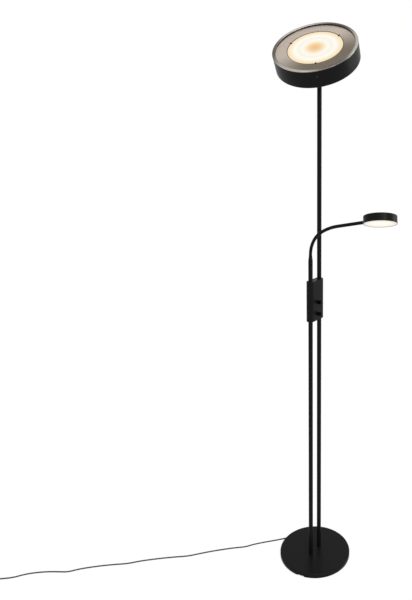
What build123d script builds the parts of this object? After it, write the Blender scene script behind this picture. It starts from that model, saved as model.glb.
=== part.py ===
"""Torchiere floor lamp: a tilting uplighter on one pole and a reading light on a bending arm beside it.

Millimetres. The origin is on the floor under the centre of the base and +Z is up. The two poles stand on
the X axis, the main pole at +X, and the dimmer knobs face -Y, the front.
"""

import math
import os

from build123d import *

# Fits
FIT = 0.05
RUNNING_GAP = 0.1
OPEN_GAP = 0.3
SCREW_DOME_SHARE = 0.6

# Base
BASE_RADIUS = 125.0
BASE_HEIGHT = 13.6
COVER_WALL = 1.5
COVER_EDGE_RADIUS = 3.0
SKIRT_LIFT = 0.8
PAD_THICKNESS = 1.5
PAD_MARGIN = 9.0
WEIGHT_MARGIN = 11.0
NOTCH_WIDTH = 24.0
NOTCH_HEIGHT = 7.5
SPARE_NOTCH_HEIGHT = 3.6
CORD_NOTCH_ANGLE = 93.0
SPARE_NOTCH_ANGLE = -167.0
NUT_POCKET_RADIUS = 12.0
NUT_POCKET_DEPTH = 7.5
CORD_POCKET_DEPTH = 7.5
CORD_POCKET_SIZE = 40.0
CORD_CHANNEL_WIDTH = 8.0

# Poles
POLE_RADIUS = 7.5
POLE_WALL = 1.2
POLE_SPACING = 48.8
STUD_WALL = 1.8
STUD_DEPTH = 24.0
STUD_TAIL = 8.0
WASHER_RADIUS = 10.5
WASHER_THICKNESS = 1.2
BASE_NUT_FLATS = 17.0
BASE_NUT_HEIGHT = 4.8

# Control housing
HOUSING_BOTTOM = 888.0
HOUSING_HEIGHT = 138.0
HOUSING_DEPTH = 27.0
HOUSING_WALL = 1.6
CAP_THICKNESS = 4.0
CAP_EDGE_RADIUS = 2.0
CAP_SKIRT_HEIGHT = 3.0
CAP_SKIRT_WALL = 1.6
CAP_TAB_WIDTH = 8.0
CAP_TAB_DEPTH = 3.0
CAP_TAB_HEIGHT = 9.0
RING_NUT_WALL = 1.3
RING_NUT_HEIGHT = 4.0
RING_NUT_SLOT = 2.0
HOUSING_SCREW_OFFSET = 12.0
SMALL_SCREW_RADIUS = 1.5
SMALL_HEAD_RADIUS = 2.8
SMALL_HEAD_HEIGHT = 1.6
SMALL_SCREW_LENGTH = 5.0

# Dimmers and knobs
KNOB_X = 0.0
UPLIGHT_KNOB_RISE = 63.0
READING_KNOB_RISE = 22.5
KNOB_RADIUS = 6.2
KNOB_REACH = 15.0
KNOB_LIFT = 0.4
KNOB_EDGE = 1.0
KNOB_FLUTES = 16
KNOB_FLUTE_RADIUS = 0.6
KNOB_SHAFT_RADIUS = 2.0
KNOB_SHAFT_DEPTH = 7.0
BUSHING_RADIUS = 3.4
BUSHING_REACH = 0.9
DIMMER_WIDTH = 12.0
DIMMER_DEPTH = 10.0
DIMMER_HEIGHT = 22.0
DIMMER_FOOT = 3.6

# Uplighter joint
PIVOT_HEIGHT = 1710.3
HEAD_TILT = 38.0
HEAD_AZIMUTH = -160.0
FORK_RADIUS = 9.5
FORK_WIDTH = 16.0
FORK_GAP = 7.8
FORK_CHEEK = 4.0
FORK_SLOT_DEPTH = 10.0
FORK_BASE_DEPTH = 20.0
SPIGOT_RADIUS = 4.0
SPIGOT_LENGTH = 19.0
BUSH_FLANGE = 2.0
BUSH_LENGTH = 16.0
RING_RADIUS = 5.6
RING_THICKNESS = 1.6
PIVOT_SCREW_RADIUS = 3.0
PIVOT_HEAD_RADIUS = 5.0
PIVOT_HEAD_HEIGHT = 4.0
PIVOT_HEAD_EDGE = 0.5
PIVOT_SOCKET_FLATS = 4.0
PIVOT_SOCKET_DEPTH = 2.0
PIVOT_NUT_FLATS = 10.0
PIVOT_NUT_HEIGHT = 4.5
PIVOT_WASHER_RADIUS = 7.5
PIVOT_WASHER_THICKNESS = 0.8
LUG_THICKNESS = 6.0
LUG_WIDTH = 14.0
LUG_FLANGE_RADIUS = 22.0
LUG_FLANGE_THICKNESS = 3.0
BRACKET_SCREW_CIRCLE = 15.5
BRACKET_SCREW_ANGLES = (30, 150, 270)
BRACKET_SCREW_RADIUS = 2.0
BRACKET_HEAD_RADIUS = 3.6
BRACKET_HEAD_HEIGHT = 2.2
BRACKET_SCREW_LENGTH = 7.0

# Uplighter drum, heights measured along its axis from the pivot
DRUM_RADIUS = 134.4
DRUM_BOTTOM = 24.0
DRUM_DEPTH = 61.0
DRUM_WALL = 1.2
DRUM_FLOOR = 1.5
DRUM_CORNER = 4.0
CABLE_HOLE_RADIUS = 5.0
TRIM_WIDTH = 10.0
TRIM_LIP = 2.8
TRIM_THICKNESS = 6.0
TRIM_OVERHANG = 0.2
TRIM_EDGE_RADIUS = 2.2
TRIM_SKIRT = 24.0
TRIM_SKIRT_WALL = 1.6
PAN_DEPTH = 4.6
PAN_SHEET = 1.0
PAN_HOLE_RADIUS = 88.0
PAN_LEDGE = 4.0
DIFFUSER_RECESS = 0.8
DIFFUSER_THICKNESS = 3.0
DIFFUSER_EDGE = 0.6
CLIP_COUNT = 3
CLIP_ANGLE = 14.0
CLIP_WIDTH = 4.5
CLIP_SHEET = 0.7
CLIP_REACH = 4.4
CLIP_FOOT = 3.5
SIDE_SCREW_DROP = 21.0
SPREADER_RADIUS = 104.0
SPREADER_THICKNESS = 2.5
BOARD_RADIUS = 81.0
BOARD_THICKNESS = 1.6
BOARD_DROP = 1.9
CHIP_COUNT = 24
CHIP_CIRCLE = 56.0
CHIP_SIZE = 3.0
CHIP_HEIGHT = 0.8
SPACER_RADIUS = 4.0
SPACER_CIRCLE = 92.0
DRIVER_LENGTH = 96.0
DRIVER_WIDTH = 46.0
DRIVER_HEIGHT = 26.0
DRIVER_OFFSET = 56.0
DRIVER_EDGE = 2.0

# Reading arm
STEM_STRAIGHT_TOP = 1096.0
STEM_TOP = 1116.0
ARM_RADIUS = 5.5
ARM_BORE = 3.2
TAPER_END = 3.0
LINK_LENGTH = 32.75
LINK_TURNS = (19.35, 19.35, 19.35, 9.15, 9.15, 0.0, 0.0, 0.0)
READING_ROLL = -18.6
COLLAR_RADIUS = 7.0
COLLAR_LENGTH = 9.0
COLLAR_EDGE = 1.0
COLLAR_SPIGOT_RADIUS = 4.0
COLLAR_SPIGOT_LENGTH = 8.0
COLLAR_BORE = 2.4
COLLAR_NUT_FLATS = 11.0
COLLAR_NUT_HEIGHT = 3.0

# Reading light
READING_RADIUS = 51.2
READING_HEIGHT = 24.6
READING_WALL = 1.2
READING_ROOF = 1.5
READING_EDGE = 2.5
READING_RECESS = 0.6
READING_LENS_THICKNESS = 2.5
READING_BOARD_RADIUS = 44.0
READING_CHIP_COUNT = 12
READING_CHIP_CIRCLE = 27.0

# Cord
CORD_RADIUS = 2.25
CORD_ARC_SHARE = 0.45
COIL_LIFT = 1.0
FLOOR_Z = CORD_RADIUS
COIL_Z = CORD_RADIUS + COIL_LIFT
CORD_ROUTE = (
    (12.0, 110.0, 5.2),
    (-4.0, 125.5, 4.2),
    (-35.0, 152.0, FLOOR_Z),
    (-70.0, 181.0, FLOOR_Z),
    (-104.0, 207.0, FLOOR_Z),
    (-130.0, 221.0, FLOOR_Z),
    (-157.0, 250.0, FLOOR_Z),
    (-190.0, 280.0, FLOOR_Z),
    (-223.0, 308.0, FLOOR_Z),
    (-257.0, 334.0, FLOOR_Z),
    (-287.0, 356.0, FLOOR_Z),
    (-318.0, 391.0, FLOOR_Z),
    (-348.0, 422.0, FLOOR_Z),
    (-378.0, 451.0, FLOOR_Z),
    (-408.0, 478.0, FLOOR_Z),
    (-438.0, 500.0, FLOOR_Z),
    (-468.0, 534.0, FLOOR_Z),
    (-497.0, 564.0, FLOOR_Z),
    (-527.0, 592.0, FLOOR_Z),
    (-557.0, 617.0, FLOOR_Z),
    (-587.0, 636.0, FLOOR_Z),
    (-603.0, 660.0, FLOOR_Z),
    (-626.0, 692.0, FLOOR_Z),
    (-652.0, 721.0, FLOOR_Z),
    (-681.0, 746.0, FLOOR_Z),
    (-713.0, 764.0, FLOOR_Z),
    (-742.0, 793.0, COIL_Z),
    (-772.0, 826.0, COIL_Z),
)
COIL_OUTER_RADIUS = 32.5
COIL_PITCH = 6.0
COIL_LAYER_RISE = 5.0
COIL_INWARD_HALF_TURNS = 5
COIL_OUTWARD_HALF_TURNS = 4
COIL_TAIL = 38.0
COIL_SAMPLE_STEP = 1.5
TIE_WIDTH = 8.0
TIE_THICKNESS = 0.9
TIE_ROOM = 0.5
CLAMP_LENGTH = 10.0
CLAMP_WIDTH = 16.0
SLEEVE_LENGTH = 23.0
SLEEVE_ROOT = 3.4
SLEEVE_TIP = 2.9

# Plug
PLUG_WIDTH = 35.0
PLUG_LENGTH = 36.0
PLUG_NECK = 13.0
PLUG_SHOULDER = 14.0
PLUG_EDGE = 2.0
PLUG_TAIL_RADIUS = 4.8
PLUG_TAIL_TIP = 3.2
PLUG_TAIL_LENGTH = 24.0
PIN_RADIUS = 2.0
PIN_LENGTH = 19.0
PIN_SPACING = 18.6
PIN_ROOT = 8.0
PIN_TIP = 0.8

# Derived sizes
POLE_BORE = POLE_RADIUS - POLE_WALL
STUD_RADIUS = POLE_BORE - FIT
RING_NUT_RADIUS = STUD_RADIUS + FIT + RING_NUT_WALL
POLE_X = POLE_SPACING / 2
PAD_RADIUS = BASE_RADIUS - PAD_MARGIN
WEIGHT_RADIUS = BASE_RADIUS - WEIGHT_MARGIN
COVER_CEILING = BASE_HEIGHT - COVER_WALL
NUT_POCKET_TOP = PAD_THICKNESS + NUT_POCKET_DEPTH
CORD_POCKET_TOP = PAD_THICKNESS + CORD_POCKET_DEPTH
HOUSING_TOP = HOUSING_BOTTOM + HOUSING_HEIGHT
HOUSING_FACE = -HOUSING_DEPTH / 2
UPLIGHT_KNOB_HEIGHT = HOUSING_BOTTOM + UPLIGHT_KNOB_RISE
READING_KNOB_HEIGHT = HOUSING_BOTTOM + READING_KNOB_RISE
FORK_TOTAL = FORK_GAP + 2 * FORK_CHEEK
POLE_TOP = PIVOT_HEIGHT - FORK_BASE_DEPTH - RUNNING_GAP - BUSH_FLANGE
DRUM_RIM = DRUM_BOTTOM + DRUM_DEPTH
SHELL_TOP = DRUM_RIM - TRIM_LIP
TRIM_BOTTOM = DRUM_RIM - TRIM_THICKNESS
TRIM_RADIUS = DRUM_RADIUS + TRIM_OVERHANG
TRIM_INNER = TRIM_RADIUS - TRIM_WIDTH
TRIM_SKIRT_RADIUS = DRUM_RADIUS - DRUM_WALL - FIT
PAN_FLOOR = DRUM_RIM - PAN_DEPTH
PAN_RADIUS = TRIM_INNER - FIT
DIFFUSER_RADIUS = PAN_HOLE_RADIUS - OPEN_GAP
DIFFUSER_TOP = PAN_FLOOR - DIFFUSER_RECESS
LEDGE_TOP = DIFFUSER_TOP - DIFFUSER_THICKNESS
LEDGE_BOTTOM = LEDGE_TOP - PAN_SHEET
BOARD_TOP = LEDGE_BOTTOM - BOARD_DROP
SPREADER_TOP = BOARD_TOP - BOARD_THICKNESS
CUP_RADIUS = ARM_RADIUS + OPEN_GAP
CORD_DIAMETER = 2 * CORD_RADIUS

STANDING = (Align.CENTER, Align.CENTER, Align.MIN)
HANGING = (Align.CENTER, Align.CENTER, Align.MAX)

PIECES = {}


def keep(name, shapes):
    """Store one node, a single solid or a group of separate solids."""
    group = shapes if isinstance(shapes, list) else [shapes]
    PIECES[name] = group[0] if len(group) == 1 else Compound(children=group)


def disc(radius, bottom, top):
    """A plain round plate or bar on the Z axis."""
    return Pos(0, 0, bottom) * Cylinder(radius, top - bottom, align=STANDING)


def ring(outer, inner, bottom, top):
    """A round tube on the Z axis."""
    return disc(outer, bottom, top) - disc(inner, bottom, top)


def hex_bar(flats, bottom, top):
    """A hexagon bar on the Z axis, with flats facing X."""
    outline = RegularPolygon(flats / 2, 6, major_radius=False, rotation=30)
    return Pos(0, 0, bottom) * extrude(outline, top - bottom)


def hex_nut(flats, hole, bottom, top):
    """A hexagon nut on the Z axis, with flats facing X."""
    return hex_bar(flats, bottom, top) - disc(hole, bottom, top)


def pan_screw(shank, length, head, head_height):
    """A round-head screw whose shank points along -Z from the underside of its head."""
    cap = disc(head, 0, head_height)
    cap = fillet(cap.edges().group_by(Axis.Z)[-1], head_height * SCREW_DOME_SHARE)
    return cap + disc(shank, -length, 0)


def rim_edges(shape, index):
    """The circular edges at the lowest (0) or highest (-1) level of a round shape."""
    return shape.edges().filter_by(GeomType.CIRCLE).group_by(Axis.Z)[index]


def cup(radius, wall, floor, height, corner):
    """A round cup open at the top, standing on z = 0, with a rounded bottom corner."""
    outside = disc(radius, 0, height)
    outside = fillet(rim_edges(outside, 0), corner)
    inside = disc(radius - wall, floor, height)
    inside = fillet(rim_edges(inside, 0), max(corner - wall, wall))
    return outside - inside


def stadium(grow):
    """The housing's outline, grown by a margin."""
    return SlotCenterToCenter(POLE_SPACING, HOUSING_DEPTH + 2 * grow)


def around(count, start, shape):
    """Copies of a shape turned about the Z axis."""
    return [Rot(0, 0, start + 360.0 / count * i) * shape for i in range(count)]


def at_poles(shape):
    """One copy of a shape on each pole's axis."""
    return [Pos(side * POLE_X, 0, 0) * shape for side in (1, -1)]


# Base
def notch(angle, height):
    """A cutter that opens the base's skirt from below."""
    depth = 2 * WEIGHT_MARGIN
    slot = Box(depth, NOTCH_WIDTH, height, align=STANDING)
    return Rot(0, 0, angle) * Pos(BASE_RADIUS, 0, 0) * slot


def make_base():
    lid = disc(BASE_RADIUS, SKIRT_LIFT, BASE_HEIGHT)
    lid = fillet(rim_edges(lid, -1), COVER_EDGE_RADIUS)
    hollow = disc(BASE_RADIUS - COVER_WALL, SKIRT_LIFT, COVER_CEILING)
    hollow = fillet(rim_edges(hollow, -1), COVER_EDGE_RADIUS - COVER_WALL)
    lid -= hollow
    lid -= notch(CORD_NOTCH_ANGLE, NOTCH_HEIGHT)
    lid -= notch(SPARE_NOTCH_ANGLE, SPARE_NOTCH_HEIGHT)
    weight = disc(WEIGHT_RADIUS, PAD_THICKNESS, COVER_CEILING)
    for hole in at_poles(disc(STUD_RADIUS + FIT, 0, BASE_HEIGHT)):
        lid -= hole
        weight -= hole
    for pocket in at_poles(disc(NUT_POCKET_RADIUS, PAD_THICKNESS, NUT_POCKET_TOP)):
        weight -= pocket
    route = cord_run_location()
    pocket_box = Box(CORD_POCKET_SIZE, CORD_POCKET_SIZE, CORD_POCKET_DEPTH, align=STANDING)
    weight -= Pos(route.position.X, route.position.Y, PAD_THICKNESS) * pocket_box
    from_edge = (Align.CENTER, Align.MIN, Align.MIN)
    channel = Box(CORD_CHANNEL_WIDTH, CORD_ROUTE[0][1], CORD_POCKET_DEPTH, align=from_edge)
    weight -= Pos(POLE_X, 0, PAD_THICKNESS) * channel
    keep("base_cover", lid)
    keep("base_weight", weight)
    keep("base_pad", disc(PAD_RADIUS, 0, PAD_THICKNESS))
    washer_bottom = NUT_POCKET_TOP - WASHER_THICKNESS
    nut_bottom = washer_bottom - BASE_NUT_HEIGHT
    hole = STUD_RADIUS + FIT
    keep("base_washers", at_poles(ring(WASHER_RADIUS, hole, washer_bottom, NUT_POCKET_TOP)))
    keep("base_nuts", at_poles(hex_nut(BASE_NUT_FLATS, hole, nut_bottom, washer_bottom)))
    stud = ring(STUD_RADIUS, STUD_RADIUS - STUD_WALL, nut_bottom, BASE_HEIGHT + STUD_DEPTH)
    keep("base_studs", at_poles(stud))


# Poles
def make_poles():
    lower = ring(POLE_RADIUS, POLE_BORE, BASE_HEIGHT, HOUSING_BOTTOM)
    keep("main_pole_lower", Pos(POLE_X, 0, 0) * lower)
    keep("reading_pole_lower", Pos(-POLE_X, 0, 0) * lower)
    keep("main_pole_upper", Pos(POLE_X, 0, 0) * ring(POLE_RADIUS, POLE_BORE, HOUSING_TOP, POLE_TOP))
    outline = Polyline(
        (POLE_BORE, HOUSING_TOP),
        (POLE_RADIUS, HOUSING_TOP),
        (POLE_RADIUS, STEM_STRAIGHT_TOP),
        (ARM_RADIUS, STEM_TOP - TAPER_END),
        (ARM_RADIUS, STEM_TOP),
        (ARM_BORE, STEM_TOP),
        (ARM_BORE, STEM_STRAIGHT_TOP),
        (POLE_BORE, STEM_STRAIGHT_TOP - POLE_BORE + ARM_BORE),
        close=True,
    )
    stem = revolve(Plane.XZ * make_face(outline), Axis.Z)
    stem -= Pos(0, 0, STEM_TOP) * Sphere(CUP_RADIUS)
    keep("reading_stem", Pos(-POLE_X, 0, 0) * stem)


# Control housing
def make_cap():
    """The bottom cap, standing on z = 0; the top cap is the same piece turned over."""
    plate = extrude(stadium(0), CAP_THICKNESS)
    plate = fillet(plate.edges().group_by(Axis.Z)[0], CAP_EDGE_RADIUS)
    skirt_outside = stadium(-HOUSING_WALL - FIT)
    skirt_inside = stadium(-HOUSING_WALL - FIT - CAP_SKIRT_WALL)
    skirt = Pos(0, 0, CAP_THICKNESS) * extrude(skirt_outside - skirt_inside, CAP_SKIRT_HEIGHT)
    tab = Box(CAP_TAB_WIDTH, CAP_TAB_DEPTH, CAP_TAB_HEIGHT, align=(Align.CENTER, Align.MAX, Align.MIN))
    tab_back = HOUSING_DEPTH / 2 - HOUSING_WALL - FIT
    tabs = [Pos(side * HOUSING_SCREW_OFFSET, tab_back, CAP_THICKNESS) * tab for side in (1, -1)]
    cap = plate + skirt + tabs
    for hole in at_poles(disc(STUD_RADIUS + FIT, 0, CAP_THICKNESS)):
        cap -= hole
    for screw in housing_screws_local(SMALL_SCREW_RADIUS + FIT):
        cap -= screw
    return cap


def housing_screws_local(radius):
    """The two screws that hold one cap's tabs, pointing forwards from the housing's back."""
    height = CAP_THICKNESS + CAP_TAB_HEIGHT / 2
    back = HOUSING_DEPTH / 2
    bar = Rot(-90, 0, 0) * pan_screw(radius, SMALL_SCREW_LENGTH, SMALL_HEAD_RADIUS, SMALL_HEAD_HEIGHT)
    return [Pos(side * HOUSING_SCREW_OFFSET, back, height) * bar for side in (1, -1)]


def make_housing():
    top_frame = Pos(0, 0, HOUSING_TOP) * Rot(0, 180, 0)
    bottom_frame = Pos(0, 0, HOUSING_BOTTOM)
    frames = (bottom_frame, top_frame)
    sleeve = extrude(stadium(0) - stadium(-HOUSING_WALL), HOUSING_HEIGHT - 2 * CAP_THICKNESS)
    sleeve = Pos(0, 0, HOUSING_BOTTOM + CAP_THICKNESS) * sleeve
    hole = Rot(90, 0, 0) * Cylinder(BUSHING_RADIUS + FIT, HOUSING_DEPTH)
    for height in (UPLIGHT_KNOB_HEIGHT, READING_KNOB_HEIGHT):
        sleeve -= Pos(KNOB_X, HOUSING_FACE, height) * hole
    screws = []
    for frame in frames:
        screws += [frame * screw for screw in housing_screws_local(SMALL_SCREW_RADIUS)]
        for screw in housing_screws_local(SMALL_SCREW_RADIUS + FIT):
            sleeve -= frame * screw
    keep("control_housing", sleeve)
    keep("housing_bottom_cap", bottom_frame * make_cap())
    keep("housing_top_cap", top_frame * make_cap())
    keep("housing_screws", screws)
    stud = ring(STUD_RADIUS, STUD_RADIUS - STUD_WALL, -STUD_DEPTH, CAP_THICKNESS + STUD_TAIL)
    nut = ring(RING_NUT_RADIUS, STUD_RADIUS + FIT, CAP_THICKNESS, CAP_THICKNESS + RING_NUT_HEIGHT)
    slot = Box(2 * RING_NUT_RADIUS, RING_NUT_SLOT, RING_NUT_SLOT)
    nut -= Pos(0, 0, CAP_THICKNESS + RING_NUT_HEIGHT) * slot
    keep("housing_studs", [frame * piece for frame in frames for piece in at_poles(stud)])
    keep("housing_nuts", [frame * piece for frame in frames for piece in at_poles(nut)])


def make_dimmer(label, height):
    """One rotary dimmer behind the front face, and the knob that turns on it."""
    inner_face = HOUSING_FACE + HOUSING_WALL
    front = Pos(KNOB_X, 0, height)
    toward_front = Rot(90, 0, 0)
    body = Box(DIMMER_WIDTH, DIMMER_DEPTH, DIMMER_HEIGHT, align=(Align.CENTER, Align.MIN, Align.MIN))
    body = Pos(0, inner_face, -DIMMER_FOOT) * body
    bushing = toward_front * disc(BUSHING_RADIUS, -inner_face, -HOUSING_FACE + BUSHING_REACH)
    bore_end = -inner_face - KNOB_SHAFT_DEPTH - OPEN_GAP
    bore = toward_front * disc(KNOB_SHAFT_RADIUS + FIT, bore_end, KNOB_REACH - HOUSING_FACE)
    keep(f"{label}_dimmer", front * (body + bushing - bore))
    knob_back = -HOUSING_FACE + KNOB_LIFT
    knob_front = -HOUSING_FACE + KNOB_REACH
    cap = disc(KNOB_RADIUS, knob_back, knob_front)
    cap = fillet(rim_edges(cap, -1), KNOB_EDGE)
    flute = Pos(KNOB_RADIUS, 0, 0) * disc(KNOB_FLUTE_RADIUS, knob_back, knob_front - 2 * KNOB_EDGE)
    for groove in around(KNOB_FLUTES, 0, flute):
        cap -= groove
    cap -= disc(BUSHING_RADIUS + OPEN_GAP, knob_back, -HOUSING_FACE + BUSHING_REACH + OPEN_GAP)
    shaft = disc(KNOB_SHAFT_RADIUS, -inner_face - KNOB_SHAFT_DEPTH, knob_front - KNOB_EDGE)
    keep(f"{label}_knob", front * toward_front * (cap + shaft))


# Uplighter joint
def fork_frame():
    """The fork's frame: origin at the tilt pivot, Y along the tilt axis, Z up."""
    return Pos(POLE_X, 0, PIVOT_HEIGHT) * Rot(0, 0, HEAD_AZIMUTH)


def head_frame():
    """The drum's frame: origin at the tilt pivot, Z along the drum's axis, X downhill."""
    return fork_frame() * Rot(0, HEAD_TILT, 0)


def across(shape):
    """Turn a shape on the Z axis so that it lies along the tilt axis."""
    return Rot(-90, 0, 0) * shape


def make_swivel():
    frame = fork_frame()
    half = FORK_TOTAL / 2
    eye_radius = FORK_WIDTH / 2
    cheek = Rectangle(FORK_WIDTH, FORK_BASE_DEPTH, align=(Align.CENTER, Align.MAX)) + Circle(eye_radius)
    block = extrude(Plane.XZ * cheek, half, both=True)
    block &= disc(FORK_RADIUS, -FORK_BASE_DEPTH, eye_radius)
    slot_height = FORK_SLOT_DEPTH + eye_radius
    slot = Pos(0, 0, -FORK_SLOT_DEPTH) * Box(FORK_WIDTH * 2, FORK_GAP, slot_height, align=STANDING)
    block = block - slot + disc(FORK_RADIUS, -FORK_BASE_DEPTH, -FORK_SLOT_DEPTH)
    block += disc(SPIGOT_RADIUS, -FORK_BASE_DEPTH - SPIGOT_LENGTH, -FORK_BASE_DEPTH)
    block -= across(disc(PIVOT_SCREW_RADIUS + FIT, -half, half))
    keep("swivel_fork", frame * block)
    bush_top = -FORK_BASE_DEPTH - RUNNING_GAP
    bush_bottom = bush_top - BUSH_LENGTH
    bush = disc(POLE_RADIUS, bush_top - BUSH_FLANGE, bush_top) + disc(STUD_RADIUS, bush_bottom, bush_top)
    bush -= disc(SPIGOT_RADIUS + FIT, bush_bottom, bush_top)
    keep("pole_top_bush", frame * bush)
    ring_top = bush_bottom - RUNNING_GAP
    keep("swivel_ring", frame * ring(RING_RADIUS, SPIGOT_RADIUS, ring_top - RING_THICKNESS, ring_top))
    head_top = half + PIVOT_HEAD_HEIGHT
    socket = hex_bar(PIVOT_SOCKET_FLATS, head_top - PIVOT_SOCKET_DEPTH, head_top)
    head = fillet(rim_edges(disc(PIVOT_HEAD_RADIUS, half, head_top), -1), PIVOT_HEAD_EDGE)
    screw = head + disc(PIVOT_SCREW_RADIUS, -half - PIVOT_NUT_HEIGHT, half) - socket
    keep("pivot_screw", frame * across(screw))
    nut = hex_nut(PIVOT_NUT_FLATS, PIVOT_SCREW_RADIUS + FIT, -half - PIVOT_NUT_HEIGHT, -half)
    keep("pivot_nut", frame * across(nut))
    outer = FORK_GAP / 2
    washer = ring(PIVOT_WASHER_RADIUS, PIVOT_SCREW_RADIUS + FIT, outer - PIVOT_WASHER_THICKNESS, outer)
    keep("pivot_washers", [frame * across(washer), frame * Rot(0, 0, 180) * across(washer)])


def bracket_screw_places():
    """Frames of the bracket's screws, heads towards the pivot."""
    flange_bottom = DRUM_BOTTOM - LUG_FLANGE_THICKNESS
    place = Pos(BRACKET_SCREW_CIRCLE, 0, flange_bottom) * Rot(180, 0, 0)
    return [Rot(0, 0, angle) * place for angle in BRACKET_SCREW_ANGLES]


def make_bracket():
    frame = head_frame()
    flange_bottom = DRUM_BOTTOM - LUG_FLANGE_THICKNESS
    neck = Rectangle(LUG_WIDTH, flange_bottom, align=(Align.CENTER, Align.MIN)) + Circle(LUG_WIDTH / 2)
    lug = extrude(Plane.XZ * neck, LUG_THICKNESS / 2, both=True)
    lug -= across(disc(PIVOT_SCREW_RADIUS + FIT, -LUG_THICKNESS, LUG_THICKNESS))
    bracket = lug + ring(LUG_FLANGE_RADIUS, CABLE_HOLE_RADIUS, flange_bottom, DRUM_BOTTOM)
    bar = disc(BRACKET_SCREW_RADIUS + FIT, -BRACKET_SCREW_LENGTH, FIT)
    for place in bracket_screw_places():
        bracket -= place * bar
    keep("tilt_bracket", frame * bracket)
    screw = pan_screw(BRACKET_SCREW_RADIUS, BRACKET_SCREW_LENGTH, BRACKET_HEAD_RADIUS, BRACKET_HEAD_HEIGHT)
    keep("bracket_screws", [frame * place * screw for place in bracket_screw_places()])


# Uplighter drum
def side_screw_place():
    """The frame of one side screw: its head stands on the drum wall, its shank points inwards."""
    return Pos(DRUM_RADIUS, 0, DRUM_RIM - SIDE_SCREW_DROP) * Rot(0, 90, 0)


def make_drum():
    frame = head_frame()
    height = SHELL_TOP - DRUM_BOTTOM
    shell = Pos(0, 0, DRUM_BOTTOM) * cup(DRUM_RADIUS, DRUM_WALL, DRUM_FLOOR, height, DRUM_CORNER)
    shell -= disc(CABLE_HOLE_RADIUS, 0, DRUM_RIM)
    bar = disc(BRACKET_SCREW_RADIUS + FIT, -BRACKET_SCREW_LENGTH, FIT)
    for place in bracket_screw_places():
        shell -= place * bar
    trim = ring(TRIM_RADIUS, TRIM_INNER, SHELL_TOP, DRUM_RIM)
    trim = fillet(rim_edges(trim, -1), TRIM_EDGE_RADIUS)
    trim += ring(TRIM_SKIRT_RADIUS, TRIM_INNER, TRIM_BOTTOM, SHELL_TOP)
    trim += ring(TRIM_SKIRT_RADIUS, TRIM_SKIRT_RADIUS - TRIM_SKIRT_WALL, SHELL_TOP - TRIM_SKIRT, SHELL_TOP)
    side_hole = side_screw_place() * Cylinder(SMALL_SCREW_RADIUS + FIT, 4 * SMALL_SCREW_LENGTH)
    for hole in around(CLIP_COUNT, CLIP_ANGLE, side_hole):
        shell -= hole
        trim -= hole
    keep("uplight_shell", frame * shell)
    keep("trim_ring", frame * trim)
    screw = pan_screw(SMALL_SCREW_RADIUS, SMALL_SCREW_LENGTH, SMALL_HEAD_RADIUS, SMALL_HEAD_HEIGHT)
    keep("side_screws", [frame * s for s in around(CLIP_COUNT, CLIP_ANGLE, side_screw_place() * screw)])
    wall = PAN_RADIUS - PAN_SHEET
    lip_radius = TRIM_SKIRT_RADIUS - TRIM_SKIRT_WALL - FIT
    pan = ring(PAN_RADIUS, PAN_HOLE_RADIUS, PAN_FLOOR - PAN_SHEET, PAN_FLOOR)
    pan += ring(PAN_RADIUS, wall, TRIM_BOTTOM - PAN_SHEET, PAN_FLOOR)
    pan += ring(lip_radius, wall, TRIM_BOTTOM - PAN_SHEET, TRIM_BOTTOM)
    pan += ring(PAN_HOLE_RADIUS + PAN_SHEET, PAN_HOLE_RADIUS, LEDGE_BOTTOM, PAN_FLOOR)
    pan += ring(PAN_HOLE_RADIUS + PAN_SHEET, PAN_HOLE_RADIUS - PAN_LEDGE, LEDGE_BOTTOM, LEDGE_TOP)
    keep("reflector_pan", frame * pan)
    lens = disc(DIFFUSER_RADIUS, LEDGE_TOP, DIFFUSER_TOP)
    lens = fillet(rim_edges(lens, -1), DIFFUSER_EDGE)
    keep("diffuser", frame * lens)


def make_clips():
    """Small bent clips that reach from the pan's hole over the edge of the diffuser."""
    frame = head_frame()
    edge = PAN_HOLE_RADIUS - FIT
    outline = Polyline(
        (edge + CLIP_FOOT, PAN_FLOOR),
        (edge + CLIP_FOOT, PAN_FLOOR + CLIP_SHEET),
        (edge - CLIP_SHEET, PAN_FLOOR + CLIP_SHEET),
        (edge - CLIP_SHEET, DIFFUSER_TOP + CLIP_SHEET),
        (edge - CLIP_REACH, DIFFUSER_TOP + CLIP_SHEET),
        (edge - CLIP_REACH, DIFFUSER_TOP),
        (edge, DIFFUSER_TOP),
        (edge, PAN_FLOOR),
        close=True,
    )
    clip = extrude(Plane.XZ * make_face(outline), CLIP_WIDTH / 2, both=True)
    keep("diffuser_clips", [frame * c for c in around(CLIP_COUNT, CLIP_ANGLE, clip)])


def chip_board(radius, bottom, count, circle):
    """A round light board with a ring of light chips on its upper face."""
    top = bottom + BOARD_THICKNESS
    board = disc(radius, bottom, top)
    chip = Pos(circle, 0, top) * Box(CHIP_SIZE, CHIP_SIZE, CHIP_HEIGHT, align=STANDING)
    return board + around(count, 0, chip)


def make_light_engine():
    frame = head_frame()
    floor = DRUM_BOTTOM + DRUM_FLOOR
    spreader_bottom = SPREADER_TOP - SPREADER_THICKNESS
    keep("light_board", frame * chip_board(BOARD_RADIUS, SPREADER_TOP, CHIP_COUNT, CHIP_CIRCLE))
    keep("heat_spreader", frame * disc(SPREADER_RADIUS, spreader_bottom, SPREADER_TOP))
    spacer = Pos(SPACER_CIRCLE, 0, 0) * disc(SPACER_RADIUS, floor, spreader_bottom)
    keep("light_spacers", [frame * s for s in around(CLIP_COUNT, CLIP_ANGLE, spacer)])
    box = Box(DRIVER_LENGTH, DRIVER_WIDTH, DRIVER_HEIGHT, align=STANDING)
    box = fillet(box.edges().filter_by(Axis.Z), DRIVER_EDGE)
    keep("light_driver", frame * Pos(0, DRIVER_OFFSET, floor) * box)


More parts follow.
